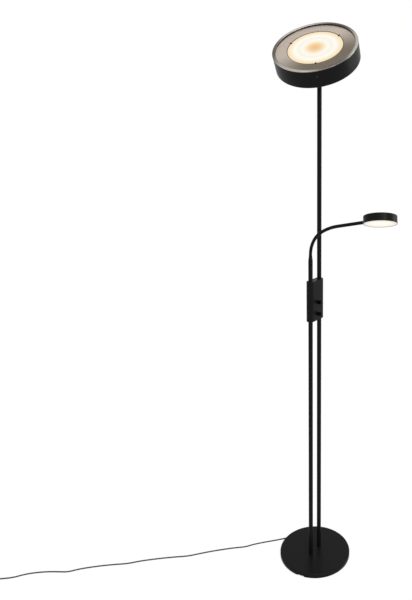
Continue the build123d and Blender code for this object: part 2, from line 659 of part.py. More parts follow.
# Reading arm
def arm_frames():
    """Frames at the start of each arm link and at the arm's end; Z runs along the arm."""
    frames = [Pos(-POLE_X, 0, STEM_TOP) * Rot(0, 0, 0)]
    for turn in LINK_TURNS:
        frames.append(frames[-1] * link_end(turn))
    return frames


def link_end(turn):
    """Where one link ends, in its own starting frame."""
    if turn == 0:
        return Pos(0, 0, LINK_LENGTH)
    angle = math.radians(turn)
    bend = LINK_LENGTH / angle
    return Pos(0, -bend * (1 - math.cos(angle)), bend * math.sin(angle)) * Rot(turn, 0, 0)


def make_link(turn, has_cup):
    """A hollow link with a domed start; its end holds the next link's dome."""
    section = Circle(ARM_RADIUS) - Circle(ARM_BORE)
    if turn == 0:
        tube = extrude(section, LINK_LENGTH)
    else:
        bend = LINK_LENGTH / math.radians(turn)
        tube = revolve(section, Axis((0, -bend, 0), (1, 0, 0)), turn)
    dome = Sphere(ARM_RADIUS, arc_size1=-90, arc_size2=0, align=HANGING) - disc(ARM_BORE, -ARM_RADIUS, 0)
    link = tube + dome
    if has_cup:
        link -= link_end(turn) * Sphere(CUP_RADIUS)
    return link


def make_arm():
    frames = arm_frames()
    last = len(LINK_TURNS)
    for number, turn in enumerate(LINK_TURNS, start=1):
        keep(f"gooseneck_link_{number}", frames[number - 1] * make_link(turn, number < last))


# Reading light
def reading_frame():
    """The reading light's frame: origin at the middle of its drum, Z away from its light face."""
    wall = COLLAR_LENGTH + READING_RADIUS
    return arm_frames()[-1] * Rot(0, 0, READING_ROLL) * Pos(0, 0, wall) * Rot(-90, 0, 0)


def make_reading_light():
    frame = reading_frame()
    half = READING_HEIGHT / 2
    roof = half - READING_ROOF
    shell = cup(READING_RADIUS, READING_WALL, READING_ROOF, READING_HEIGHT, READING_EDGE)
    shell = Pos(0, 0, half) * Rot(180, 0, 0) * shell
    shell -= across(disc(COLLAR_SPIGOT_RADIUS + FIT, 0, READING_RADIUS + COLLAR_LENGTH))
    keep("reading_shell", frame * shell)
    drum = disc(READING_RADIUS, -half, half)
    outer_end = READING_RADIUS + COLLAR_LENGTH
    collar = disc(COLLAR_RADIUS, READING_RADIUS - COLLAR_EDGE, outer_end)
    collar = chamfer(rim_edges(collar, -1), COLLAR_EDGE)
    collar = across(collar) - drum
    spigot_end = READING_RADIUS - COLLAR_SPIGOT_LENGTH
    collar += across(disc(COLLAR_SPIGOT_RADIUS, spigot_end, READING_RADIUS + COLLAR_EDGE))
    collar -= across(disc(COLLAR_BORE, 0, outer_end))
    keep("reading_collar", frame * collar)
    inner = READING_RADIUS - READING_WALL
    nut_corner = COLLAR_NUT_FLATS / math.sqrt(3)
    nut_face = math.sqrt(inner**2 - nut_corner**2) - FIT
    nut = hex_nut(COLLAR_NUT_FLATS, COLLAR_SPIGOT_RADIUS + FIT, nut_face - COLLAR_NUT_HEIGHT, nut_face)
    keep("collar_nut", frame * across(nut))
    board = chip_board(READING_BOARD_RADIUS, 0, READING_CHIP_COUNT, READING_CHIP_CIRCLE)
    keep("reading_board", frame * Pos(0, 0, roof) * Rot(180, 0, 0) * board)
    lens_face = -half + READING_RECESS
    keep("reading_diffuser", frame * disc(inner - FIT, lens_face, lens_face + READING_LENS_THICKNESS))


# Cord
def cord_points():
    return [Vector(*point) for point in CORD_ROUTE]


def cord_run_location():
    """The frame where the cord starts inside the base, X along its first run."""
    start, after = cord_points()[:2]
    run = after - start
    return Pos(start) * Rot(0, 0, math.degrees(math.atan2(run.Y, run.X)))


def cord_radii(points):
    """The radius of the arc at each corner of the route, from its turn and its shorter run."""
    radii = []
    for before, here, after in zip(points, points[1:], points[2:]):
        first = here - before
        second = after - here
        turn = math.radians(first.get_angle(second))
        shorter = min(first.length, second.length)
        radii.append(CORD_ARC_SHARE * shorter / math.tan(turn / 2))
    return radii


def tube(path):
    """A round tube of the cord's section along a path."""
    section = Plane(origin=path @ 0, z_dir=path % 0) * Circle(CORD_RADIUS)
    solid = sweep(section, path=path)
    share = solid.volume / (math.pi * CORD_RADIUS**2 * path.length)
    print(f"tube length {path.length:.1f}, volume share {share:.4f}")
    return solid


def make_lead():
    points = cord_points()
    radii = cord_radii(points)
    print("cord radii", [round(radius) for radius in radii])
    keep("cord_lead", tube(FilletPolyline(*points, radius=radii)))
    run = cord_run_location()
    room = CORD_POCKET_TOP - PAD_THICKNESS - FIT
    block = Box(CLAMP_LENGTH, CLAMP_WIDTH, room, align=STANDING)
    block = Pos(0, 0, PAD_THICKNESS + FIT - run.position.Z) * block
    start, after = points[:2]
    along = Plane(origin=start, z_dir=after - start)
    sleeve = along * Cone(SLEEVE_ROOT, SLEEVE_TIP, SLEEVE_LENGTH, align=STANDING)
    bore = along * Cylinder(CORD_RADIUS + FIT, 2 * SLEEVE_LENGTH + CLAMP_LENGTH)
    keep("cord_clamp", run * block + sleeve - bore)


def coil_frame():
    """The coil's frame: origin on its axis on the floor, Y along the cord's heading as it arrives."""
    before, end = cord_points()[-2:]
    run = end - before
    heading = math.degrees(math.atan2(run.Y, run.X)) - 90
    return Pos(end.X, end.Y, 0) * Rot(0, 0, heading) * Pos(-COIL_OUTER_RADIUS, CORD_DIAMETER, 0)


def coil_stations():
    """The coil's points at each half turn, which cross the X axis on alternate sides."""
    radius = COIL_OUTER_RADIUS
    height = COIL_Z
    stations = [(radius, height)]
    for _ in range(COIL_INWARD_HALF_TURNS):
        radius -= COIL_PITCH / 2
        stations.append((radius, height))
    height += COIL_LAYER_RISE
    stations.append((radius, height))
    for _ in range(COIL_OUTWARD_HALF_TURNS):
        radius += COIL_PITCH / 2
        stations.append((radius, height))
    return [Vector((-1) ** i * r, 0, z) for i, (r, z) in enumerate(stations)]


def coil_edges():
    """Half turns as pairs of tangent arcs, with a straight run at each end."""
    stations = coil_stations()
    first, last = stations[0], stations[-1]
    ahead = Vector(0, 1, 0)
    edges = [Line(first - ahead * CORD_DIAMETER, first)]
    for i, (start, end) in enumerate(zip(stations, stations[1:])):
        heading = ahead * (-1) ** i
        middle = (start + end) * 0.5 + heading * ((end - start).length / 2)
        edges.append(TangentArc(start, middle, tangent=heading))
        edges.append(TangentArc(middle, end, tangent=edges[-1] % 1))
    edges.append(Line(last, last + ahead * COIL_TAIL))
    return edges


def print_coil_gap(path):
    """Print the coil's least gap to itself, measured on points along it."""
    count = int(path.length / COIL_SAMPLE_STEP)
    points = [path @ (i / count) for i in range(count + 1)]
    apart = int(math.pi * COIL_OUTER_RADIUS / 2 / COIL_SAMPLE_STEP)
    pairs = ((a, b) for i, a in enumerate(points) for b in points[i + apart:])
    print(f"coil gap {min((a - b).length for a, b in pairs) - CORD_DIAMETER:.2f}")


def make_coil():
    frame = coil_frame()
    path = Wire(coil_edges())
    print_coil_gap(path)
    keep("cord_coil", frame * tube(path))
    stations = coil_stations()
    upper_start, upper_next = stations[COIL_INWARD_HALF_TURNS + 1:][:2]
    inner = (upper_start.X - upper_next.X) / 2 - CORD_RADIUS - 2 * TIE_ROOM
    outer = (stations[0].X - stations[1].X) / 2 + CORD_RADIUS + TIE_ROOM
    width = outer - inner
    height = COIL_LAYER_RISE + CORD_DIAMETER + COIL_LIFT - TIE_THICKNESS + TIE_ROOM
    outline = RectangleRounded(width + 2 * TIE_THICKNESS, height + 2 * TIE_THICKNESS, 2 * TIE_THICKNESS)
    opening = RectangleRounded(width, height, TIE_THICKNESS)
    band = extrude(Plane.YZ * (outline - opening), TIE_WIDTH / 2, both=True)
    keep("coil_tie", frame * Pos(0, (inner + outer) / 2, height / 2 + TIE_THICKNESS) * band)


def make_plug():
    end = coil_stations()[-1]
    frame = coil_frame() * Pos(end.X, COIL_TAIL, end.Z)
    half = PLUG_WIDTH / 2
    tail_end = PLUG_TAIL_LENGTH
    outline = Polyline(
        (-PLUG_NECK / 2, tail_end),
        (PLUG_NECK / 2, tail_end),
        (half, tail_end + PLUG_SHOULDER),
        (half, tail_end + PLUG_LENGTH),
        (-half, tail_end + PLUG_LENGTH),
        (-half, tail_end + PLUG_SHOULDER),
        close=True,
    )
    body = extrude(make_face(outline), end.Z, both=True)
    body = fillet(body.edges().filter_by(Axis.Z), 2 * PLUG_EDGE)
    body = fillet(body.edges().group_by(Axis.Z)[-1] + body.edges().group_by(Axis.Z)[0], PLUG_EDGE)
    tail = Cone(PLUG_TAIL_TIP, PLUG_TAIL_RADIUS, tail_end + PLUG_EDGE, align=STANDING)
    body += across(tail)
    face = tail_end + PLUG_LENGTH
    pin = disc(PIN_RADIUS, face - PIN_ROOT, face + PIN_LENGTH)
    pin = chamfer(rim_edges(pin, -1), PIN_TIP)
    pins = [Pos(side * PIN_SPACING / 2, 0, 0) * across(pin) for side in (1, -1)]
    for pin_solid in pins:
        body -= pin_solid
    keep("plug_body", frame * body)
    keep("plug_pins", [frame * p for p in pins])


def main():
    make_base()
    make_poles()
    make_housing()
    make_dimmer("uplight", UPLIGHT_KNOB_HEIGHT)
    make_dimmer("reading", READING_KNOB_HEIGHT)
    make_swivel()
    make_bracket()
    make_drum()
    make_clips()
    make_light_engine()
    make_arm()
    make_reading_light()
    make_lead()
    make_coil()
    make_plug()
    os.makedirs("parts", exist_ok=True)
    for name, shape in PIECES.items():
        export_step(shape, f"parts/{name}.step")


main()
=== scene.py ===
"""Torchiere floor lamp: finishes, bending arm, cord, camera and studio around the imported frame.

Metres, in the frame's own axes: the origin is on the floor under the base, +Z is up, the two poles
stand on the X axis and the dimmer knobs face -Y.
"""

import logging
import math
from dataclasses import dataclass
from enum import Enum
from typing import Any, Dict, List, Optional, Sequence, Tuple, Union

import bmesh
import bpy
from mathutils import Euler, Matrix, Vector


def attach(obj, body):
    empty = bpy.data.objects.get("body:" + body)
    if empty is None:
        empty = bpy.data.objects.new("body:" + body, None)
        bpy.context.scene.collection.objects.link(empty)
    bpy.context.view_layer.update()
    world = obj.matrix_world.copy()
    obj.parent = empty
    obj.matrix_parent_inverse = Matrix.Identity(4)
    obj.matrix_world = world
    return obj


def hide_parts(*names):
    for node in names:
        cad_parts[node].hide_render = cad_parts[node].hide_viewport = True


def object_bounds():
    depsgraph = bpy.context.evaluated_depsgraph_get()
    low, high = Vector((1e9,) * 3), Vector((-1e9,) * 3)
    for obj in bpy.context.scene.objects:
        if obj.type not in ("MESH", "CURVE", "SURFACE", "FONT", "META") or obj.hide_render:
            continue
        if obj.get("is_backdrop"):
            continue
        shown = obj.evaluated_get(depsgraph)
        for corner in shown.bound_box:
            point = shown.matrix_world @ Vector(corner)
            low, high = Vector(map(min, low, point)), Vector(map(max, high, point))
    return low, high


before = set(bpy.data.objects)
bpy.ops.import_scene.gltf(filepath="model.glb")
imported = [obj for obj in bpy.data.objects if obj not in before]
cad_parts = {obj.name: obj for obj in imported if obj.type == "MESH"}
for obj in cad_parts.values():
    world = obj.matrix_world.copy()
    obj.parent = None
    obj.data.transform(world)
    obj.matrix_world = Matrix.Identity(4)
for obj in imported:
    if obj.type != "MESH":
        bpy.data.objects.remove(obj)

LOG = logging.getLogger("lamp")
Colour = Tuple[float, float, float]
Point = Tuple[float, float, float]
Stops = Tuple[Tuple[float, Colour], ...]

WHITE: Colour = (1.0, 1.0, 1.0)
NOISE_ROUGHNESS = 0.55
SAME_POINT = 1e-6
MILLIMETRES = 1000.0
HALF_TURN = 180.0


class Shade:
    """One socket of a material, with operators that add Math nodes."""

    def __init__(self, paint: "Paint", socket: bpy.types.NodeSocket) -> None:
        """Wrap a socket of the material that paint is making."""
        self.paint = paint
        self.socket = socket

    def math(self, operation: str, first: Any, second: Any = 0.0) -> "Shade":
        """The result of a Math node with one or two values or links."""
        node = self.paint.add("ShaderNodeMath", {"operation": operation}, {0: first, 1: second})
        return self.paint.out(node, 0)

    def __add__(self, other: Any) -> "Shade":
        """Self plus other."""
        return self.math("ADD", self, other)

    def __radd__(self, other: Any) -> "Shade":
        """Other plus self."""
        return self.math("ADD", other, self)

    def __sub__(self, other: Any) -> "Shade":
        """Self less other."""
        return self.math("SUBTRACT", self, other)

    def __rsub__(self, other: Any) -> "Shade":
        """Other less self."""
        return self.math("SUBTRACT", other, self)

    def __mul__(self, other: Any) -> "Shade":
        """Self times other."""
        return self.math("MULTIPLY", self, other)

    def __rmul__(self, other: Any) -> "Shade":
        """Other times self."""
        return self.math("MULTIPLY", other, self)

    def __truediv__(self, other: Any) -> "Shade":
        """Self over other."""
        return self.math("DIVIDE", self, other)

    def __pow__(self, other: Any) -> "Shade":
        """Self to the power of other."""
        return self.math("POWER", self, other)


class Paint:
    """A node material or surround in the making."""

    def __init__(self, owner: Union[bpy.types.Material, bpy.types.World]) -> None:
        """Start with no nodes.

        Args:
            owner: the new material or world.
        """
        self.owner = owner
        self.owner.use_nodes = True
        self.tree = self.owner.node_tree
        self.tree.nodes.clear()

    def add(self, kind: str, settings: Optional[Dict[str, Any]] = None,
            sockets: Optional[Dict[Union[int, str], Any]] = None) -> bpy.types.Node:
        """Add a node.

        Args:
            kind: the node's type.
            settings: its properties; stops is a colour ramp's list of places and colours.
            sockets: values or links of its inputs, by name or number.

        Returns:
            The new node.
        """
        node = self.tree.nodes.new(kind)
        for key, value in (settings or {}).items():
            if key == "stops":
                ramp = node.color_ramp.elements
                while len(ramp) < len(value):
                    ramp.new(0.5)
                for element, (place, colour) in zip(ramp, value):
                    element.position = place
                    element.color = (*colour, 1.0)
            else:
                setattr(node, key, value)
        for key, value in (sockets or {}).items():
            if isinstance(value, Shade):
                self.tree.links.new(value.socket, node.inputs[key])
            else:
                node.inputs[key].default_value = value
        return node

    def out(self, node: bpy.types.Node, key: Union[int, str]) -> Shade:
        """One output of a node, by name or number."""
        return Shade(self, node.outputs[key])

    def place(self) -> Shade:
        """The point on the piece in the lamp's frame, in metres."""
        return self.out(self.add("ShaderNodeTexCoord"), "Object")

    def noise(self, where: Shade, scale: float, detail: float = 3.0) -> Shade:
        """Soft noise of about 0.5, with so many features to the metre and finer layers in it."""
        sockets = {"Vector": where, "Scale": scale, "Detail": detail, "Roughness": NOISE_ROUGHNESS}
        return self.out(self.add("ShaderNodeTexNoise", {}, sockets), 0)

    def mix(self, share: Union[Shade, float], first: Any, second: Any) -> Shade:
        """A mix of two colours, the first at a share of 0 and the second at 1."""
        sockets = {0: share, 6: opaque(first), 7: opaque(second)}
        return self.out(self.add("ShaderNodeMix", {"data_type": "RGBA"}, sockets), 2)

    def seen(self) -> Shade:
        """1 to the eye, in reflections and through glass, 0 to the light that falls on things."""
        path = self.add("ShaderNodeLightPath")
        seen = self.out(path, "Is Camera Ray")
        for way in ("Is Glossy Ray", "Is Transmission Ray"):
            seen = seen.math("MAXIMUM", seen, self.out(path, way))
        return seen

    def bump(self, height: Shade, distance: float) -> Shade:
        """A normal disturbed by a height, of which 1 stands for so many metres."""
        sockets = {"Strength": 1.0, "Distance": distance, "Height": height}
        return self.out(self.add("ShaderNodeBump", {}, sockets), 0)

    def surface(self, sockets: Dict[str, Any]) -> bpy.types.Material:
        """Finish the material with one Principled shader.

        Args:
            sockets: values or links of the shader's inputs.

        Returns:
            The finished material.
        """
        shader = self.add("ShaderNodeBsdfPrincipled", {}, sockets)
        self.add("ShaderNodeOutputMaterial", {}, {"Surface": self.out(shader, 0)})
        return self.owner


def opaque(colour: Any) -> Any:
    """A colour with full alpha, or a link as it is."""
    return colour if isinstance(colour, Shade) else (*colour, 1.0)


class Pattern(Enum):
    """How a finish breaks up its surface, as the stretch of its grain along X, Y and Z."""

    PEEL = (1.0, 1.0, 1.0)
    DRAWN_UP = (1.0, 1.0, 0.02)
    DRAWN_ACROSS = (0.04, 1.0, 1.0)


@dataclass(frozen=True)
class Finish:
    """An even finish: two close tones in soft patches, with a fine grain in gloss and height."""

    name: str
    tone: Colour
    patch: Colour
    metallic: float
    gloss: Tuple[float, float]
    grain: float
    depth: float
    specular: float = 0.5
    patches: float = 22.0
    pattern: Pattern = Pattern.PEEL

    def make(self) -> bpy.types.Material:
        """The finish as a material."""
        paint = Paint(bpy.data.materials.new(self.name))
        where = paint.place()
        sockets = {"Vector": where, "Scale": self.pattern.value}
        stretched = paint.out(paint.add("ShaderNodeMapping", {}, sockets), 0)
        soft = paint.noise(where, self.patches)
        fine = paint.noise(stretched, self.grain, 2.0)
        low, high = self.gloss
        return paint.surface({
            "Base Color": paint.mix(soft, self.tone, self.patch),
            "Roughness": low + (high - low) * (0.5 * soft + 0.5 * fine),
            "Metallic": self.metallic,
            "Specular IOR Level": self.specular,
            "Normal": paint.bump(fine, self.depth),
        })


@dataclass(frozen=True)
class RoundFinish:
    """What the finishes turned about a drum's axis share: the axis's frame."""

    name: str
    origin: Point
    turn: Tuple[float, float, float]

    def polar(self, paint: Paint) -> Tuple[Shade, Shade]:
        """Distance from the axis and angle round it.

        Args:
            paint: the material in the making.

        Returns:
            The distance in metres and the angle in radians.
        """
        sockets = {"Vector": paint.place(), "Location": self.origin, "Rotation": self.turn}
        local = paint.add("ShaderNodeMapping", {"vector_type": "TEXTURE"}, sockets)
        split = paint.add("ShaderNodeSeparateXYZ", {}, {0: paint.out(local, 0)})
        across, along = paint.out(split, 0), paint.out(split, 1)
        reach = (across * across + along * along) ** 0.5
        return reach, across.math("ARCTAN2", along, across)


@dataclass(frozen=True)
class SpunNickel(RoundFinish):
    """Nickel brushed in circles about the drum's axis, with a painted reflection in light and dark
    sectors round it.

    Inside the bore it is darkened as painted shade, and where the brushing shows wear it takes a dark
    wear tone; one dark colour serves both.
    """

    # light and dark: the two tones of the painted reflection round the axis.
    light: Colour
    dark: Colour
    sectors: int
    highlight_angle: float
    spread: Tuple[float, float]
    # The dark colour of the wear and of the painted shade inside the bore.
    wear_and_shade: Colour
    bore: float
    dull: float
    gloss: Tuple[float, float]
    lines: float
    depth: float
    cloud_rings: float = 30.0
    cloud_sectors: float = 3.0
    line_share: float = 0.6

    def make(self) -> bpy.types.Material:
        """The finish as a material."""
        paint = Paint(bpy.data.materials.new(self.name))
        reach, angle = self.polar(paint)
        east, north = angle.math("COSINE", angle), angle.math("SINE", angle)
        ring = paint.add("ShaderNodeCombineXYZ", {}, {0: reach * self.lines, 1: east, 2: north})
        lines = paint.noise(paint.out(ring, 0), 1.0, 2.0)
        sockets = {0: reach * self.cloud_rings}
        sockets.update({1: east * self.cloud_sectors, 2: north * self.cloud_sectors})
        patch = paint.add("ShaderNodeCombineXYZ", {}, sockets)
        cloud = paint.noise(paint.out(patch, 0), 1.0, 2.0)
        # Painted reflection: light and dark sectors round the axis stand in for the surroundings
        # mirrored in the metal.
        turned = self.sectors * (angle - math.radians(self.highlight_angle))
        lit = 0.5 + 0.5 * turned.math("COSINE", turned)
        smooth = {"interpolation_type": "SMOOTHSTEP"}
        sockets = {0: lit, 1: self.spread[0], 2: self.spread[1]}
        painted_reflection = paint.out(paint.add("ShaderNodeMapRange", smooth, sockets), 0)
        # Painted shade: inside the bore radius the metal takes the dark colour.
        edge = reach.math("LESS_THAN", reach, self.bore)
        wear = self.dull * (self.line_share * lines + (1.0 - self.line_share) * cloud)
        wear_and_bore_shade = edge.math("MAXIMUM", edge, wear)
        low, high = self.gloss
        return paint.surface({
            "Base Color": paint.mix(wear_and_bore_shade, paint.mix(painted_reflection, self.dark, self.light), self.wear_and_shade),
            "Roughness": low + (high - low) * lines,
            "Metallic": 1.0,
            "Normal": paint.bump(lines, self.depth),
        })


@dataclass(frozen=True)
class LitOpal(RoundFinish):
    """A frosted opal sheet lit from behind, in rings of colour."""

    radius: float
    rings: Stops
    frost: float
    body: Colour = (0.04, 0.038, 0.035)
    specular: float = 0.12
    glow: float = 1.0
    mottles: float = 160.0
    ring_waver: float = 0.006
    frost_waver: float = 0.08
    grain: float = 1800.0
    depth: float = 0.00002

    def make(self) -> bpy.types.Material:
        """The finish as a material."""
        paint = Paint(bpy.data.materials.new(self.name))
        reach, _ = self.polar(paint)
        mottle = paint.noise(paint.place(), self.mottles, 2.0)
        share = reach / self.radius + self.ring_waver * (mottle - 0.5)
        ramp = paint.add("ShaderNodeValToRGB", {"stops": self.rings}, {0: share})
        return paint.surface({
            "Base Color": opaque(self.body),
            "Roughness": self.frost + self.frost_waver * (mottle - 0.5),
            "Specular IOR Level": self.specular,
            "Emission Color": paint.out(ramp, 0),
            "Emission Strength": self.glow,
            "Normal": paint.bump(paint.noise(paint.place(), self.grain, 1.0), self.depth),
        })


@dataclass(frozen=True)
class PaleFloor:
    """A white sweep that shows as plain white and keeps a faint shadow."""

    name: str
    tone: Colour
    shadow: float

    def make(self) -> bpy.types.Material:
        """The finish as a material."""
        paint = Paint(bpy.data.materials.new(self.name))
        matt = paint.add("ShaderNodeBsdfDiffuse", {}, {"Color": opaque(self.tone)})
        white = paint.add("ShaderNodeEmission", {}, {"Color": opaque(WHITE), "Strength": 1.0})
        plain = paint.seen() * (1.0 - self.shadow)
        sockets = {0: plain, 1: paint.out(matt, 0), 2: paint.out(white, 0)}
        both = paint.add("ShaderNodeMixShader", {}, sockets)
        paint.add("ShaderNodeOutputMaterial", {}, {"Surface": paint.out(both, 0)})
        return paint.owner


Coat = Union[Finish, SpunNickel, LitOpal, PaleFloor]

HEAD_PLACE: Point = (0.0244, 0.0, 1.7103)
HEAD_TURN = (0.0, math.radians(38.0), math.radians(-160.0))

POWDER_BLACK = Finish(
    "satin_black_powder_coat", tone=(0.0042, 0.0042, 0.0044), patch=(0.0056, 0.0055, 0.0057),
    metallic=0.0, gloss=(0.29, 0.37), grain=1500.0, depth=0.00003, specular=0.06)
SLEEVE_BLACK = Finish(
    "black_ribbed_sleeve", tone=(0.0036, 0.0036, 0.0038), patch=(0.0048, 0.0047, 0.0049),
    metallic=0.0, gloss=(0.34, 0.44), grain=2200.0, depth=0.00002, specular=0.05)
COLLAR_GREY = Finish(
    "satin_grey_collar", tone=(0.035, 0.035, 0.036), patch=(0.045, 0.045, 0.046),
    metallic=0.3, gloss=(0.35, 0.45), grain=1800.0, depth=0.00002, specular=0.4)
PLASTIC_BLACK = Finish(
    "moulded_black_plastic", tone=(0.012, 0.012, 0.0125), patch=(0.016, 0.016, 0.0165),
    metallic=0.0, gloss=(0.42, 0.56), grain=2600.0, depth=0.00003, specular=0.35)
KNOB_BLACK = Finish(
    "turned_black_knob", tone=(0.0018, 0.0018, 0.0019), patch=(0.0026, 0.0026, 0.0027),
    metallic=0.0, gloss=(0.34, 0.46), grain=2600.0, depth=0.00003, specular=0.05)
CORD_BLACK = Finish(
    "cord_jacket", tone=(0.016, 0.016, 0.0165), patch=(0.022, 0.022, 0.0225),
    metallic=0.0, gloss=(0.50, 0.62), grain=1800.0, depth=0.00002, specular=0.35)
ZINC = Finish(
    "zinc_plate", tone=(0.50, 0.50, 0.49), patch=(0.62, 0.62, 0.60),
    metallic=1.0, gloss=(0.25, 0.42), grain=900.0, depth=0.00001)
BLACK_ZINC = Finish(
    "blackened_screw", tone=(0.02, 0.02, 0.021), patch=(0.035, 0.035, 0.036),
    metallic=0.8, gloss=(0.35, 0.5), grain=1400.0, depth=0.00001)
CAST_IRON = Finish(
    "raw_cast_iron", tone=(0.10, 0.10, 0.10), patch=(0.16, 0.155, 0.15),
    metallic=0.7, gloss=(0.6, 0.85), grain=500.0, depth=0.0002)
FOAM = Finish(
    "floor_pad_foam", tone=(0.02, 0.02, 0.02), patch=(0.035, 0.035, 0.035),
    metallic=0.0, gloss=(0.8, 0.95), grain=1600.0, depth=0.0002, specular=0.2)
WASHER_WHITE = Finish(
    "friction_washer", tone=(0.70, 0.70, 0.67), patch=(0.76, 0.76, 0.73),
    metallic=0.0, gloss=(0.4, 0.5), grain=900.0, depth=0.00002)
MILL_ALUMINIUM = Finish(
    "mill_aluminium", tone=(0.60, 0.60, 0.61), patch=(0.68, 0.68, 0.69),
    metallic=1.0, gloss=(0.32, 0.5), grain=700.0, depth=0.00002, pattern=Pattern.DRAWN_ACROSS)
BOARD_WHITE = Finish(
    "board_white_mask", tone=(0.80, 0.80, 0.78), patch=(0.84, 0.84, 0.82),
    metallic=0.0, gloss=(0.35, 0.45), grain=900.0, depth=0.00002)
DRIVER_WHITE = Finish(
    "driver_case", tone=(0.66, 0.66, 0.64), patch=(0.70, 0.70, 0.68),
    metallic=0.0, gloss=(0.45, 0.55), grain=1500.0, depth=0.00003)
PIN_METAL = Finish(
    "plated_pin", tone=(0.66, 0.62, 0.54), patch=(0.72, 0.69, 0.62),
    metallic=1.0, gloss=(0.2, 0.32), grain=900.0, depth=0.00001, pattern=Pattern.DRAWN_UP)
# Painted reflection: one light and one dark sector across the dish; painted shade inside the bore,
# round the opal sheet.
DISH_NICKEL = SpunNickel(
    "spun_nickel_dish_painted_reflection", HEAD_PLACE, HEAD_TURN, light=(0.44, 0.375, 0.325), dark=(0.13, 0.107, 0.077),
    sectors=1, highlight_angle=-140.0, spread=(0.08, 0.68), wear_and_shade=(0.04, 0.035, 0.028), bore=0.0888, dull=0.2,
    gloss=(0.26, 0.42), lines=2600.0, depth=0.00006)
# Painted reflection: light and dark streaks three times round the rim; painted shade on the lip's inner
# wall, inside the bore.
POLISHED_RIM = SpunNickel(
    "polished_nickel_rim_painted_reflection", HEAD_PLACE, HEAD_TURN, light=(0.46, 0.43, 0.39), dark=(0.11, 0.098, 0.084),
    sectors=3, highlight_angle=98.0, spread=(0.0, 1.0), wear_and_shade=(0.05, 0.045, 0.04), bore=0.1256, dull=0.15,
    gloss=(0.12, 0.22), lines=5000.0, depth=0.00001)
DISH_GLOW = (
    (0.00, (0.77, 0.45, 0.18)),
    (0.18, (0.83, 0.55, 0.26)),
    (0.44, (0.92, 0.88, 0.79)),
    (0.58, (0.85, 0.83, 0.72)),
    (0.74, (0.94, 0.89, 0.81)),
    (0.89, (0.88, 0.73, 0.50)),
    (0.986, (0.83, 0.66, 0.40)),
    (0.992, (0.10, 0.07, 0.04)),
)
OPAL_DISH = LitOpal(
    "lit_opal_uplight", HEAD_PLACE, HEAD_TURN, radius=0.0877, rings=DISH_GLOW, frost=0.4)
READING_GLOW = (
    (0.00, (0.90, 0.87, 0.775)),
    (0.55, (0.88, 0.835, 0.725)),
    (0.80, (0.81, 0.745, 0.650)),
    (1.00, (0.68, 0.620, 0.550)),
)
FLOOR_WHITE = PaleFloor("pale_floor", tone=(0.9, 0.9, 0.9), shadow=0.14)


class Workshop:
    """Hands out each finish's material once and puts it on frame nodes and new pieces."""

    def __init__(self) -> None:
        """Start with no materials made."""
        self.made: Dict[str, bpy.types.Material] = {}

    def material(self, finish: Coat) -> bpy.types.Material:
        """The material of a finish, made the first time it is asked for.

        Args:
            finish: the finish.

        Returns:
            Its material.
        """
        if finish.name not in self.made:
            self.made[finish.name] = finish.make()
        return self.made[finish.name]

    def dress(self, finish: Coat, *nodes: str) -> None:
        """Put a finish on frame nodes.

        Args:
            finish: the finish.
            nodes: the nodes' names.
        """
        for name in nodes:
            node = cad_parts[name]
            if not node.material_slots:
                node.data.materials.append(None)
            for slot in node.material_slots:
                slot.material = self.material(finish)
            LOG.info("dressed %s in %s", name, finish.name)

    def piece(self, name: str, mesh: bmesh.types.BMesh, finish: Coat, slot: str) -> bpy.types.Object:
        """Turn a finished bmesh into an object at the origin.

        Args:
            name: the piece's name.
            mesh: its shape, which is freed.
            finish: its finish.
            slot: the record's material slot it stands for; not used.

        Returns:
            The new object.
        """
        bmesh.ops.recalc_face_normals(mesh, faces=mesh.faces)
        data = bpy.data.meshes.new(name)
        mesh.to_mesh(data)
        mesh.free()
        data.shade_smooth()
        data.materials.append(self.material(finish))
        thing = bpy.data.objects.new(name, data)
        bpy.context.collection.objects.link(thing)
        LOG.info("made %s with %d faces", name, len(data.polygons))
        return thing


@dataclass
class Base:
    """The round weighted foot."""

    shop: Workshop

    def build(self) -> None:
        """Dress the foot's pieces."""
        self.shop.dress(POWDER_BLACK, "base_cover")
        self.shop.dress(CAST_IRON, "base_weight")
        self.shop.dress(FOAM, "base_pad")
        self.shop.dress(ZINC, "base_studs", "base_washers", "base_nuts")
        self.shop.dress(PLASTIC_BLACK, "cord_clamp")


@dataclass
class Stand:
    """The poles and the control housing with its dimmers."""

    shop: Workshop

    def build(self) -> None:
        """Dress the poles, the housing and the dimmers."""
        self.shop.dress(POWDER_BLACK, "main_pole_lower", "reading_pole_lower", "main_pole_upper",
                        "reading_stem", "control_housing", "housing_bottom_cap", "housing_top_cap",
                        "pole_top_bush")
        self.shop.dress(ZINC, "housing_studs", "housing_nuts")
        self.shop.dress(BLACK_ZINC, "housing_screws")
        self.shop.dress(PLASTIC_BLACK, "uplight_dimmer", "reading_dimmer")
        self.shop.dress(KNOB_BLACK, "uplight_knob", "reading_knob")


@dataclass
class Uplighter:
    """The tilting drum with its dish and its lit opal sheet."""

    shop: Workshop

    def build(self) -> None:
        """Dress the joint, the drum and the light inside it."""
        self.shop.dress(POWDER_BLACK, "swivel_fork", "tilt_bracket", "uplight_shell", "diffuser_clips")
        self.shop.dress(ZINC, "swivel_ring", "pivot_nut", "pivot_screw")
        self.shop.dress(BLACK_ZINC, "bracket_screws", "side_screws")
        self.shop.dress(WASHER_WHITE, "pivot_washers")
        self.shop.dress(POLISHED_RIM, "trim_ring")
        self.shop.dress(DISH_NICKEL, "reflector_pan")
        self.shop.dress(OPAL_DISH, "diffuser")
        self.shop.dress(MILL_ALUMINIUM, "heat_spreader", "light_spacers")
        self.shop.dress(BOARD_WHITE, "light_board")
        self.shop.dress(DRIVER_WHITE, "light_driver")


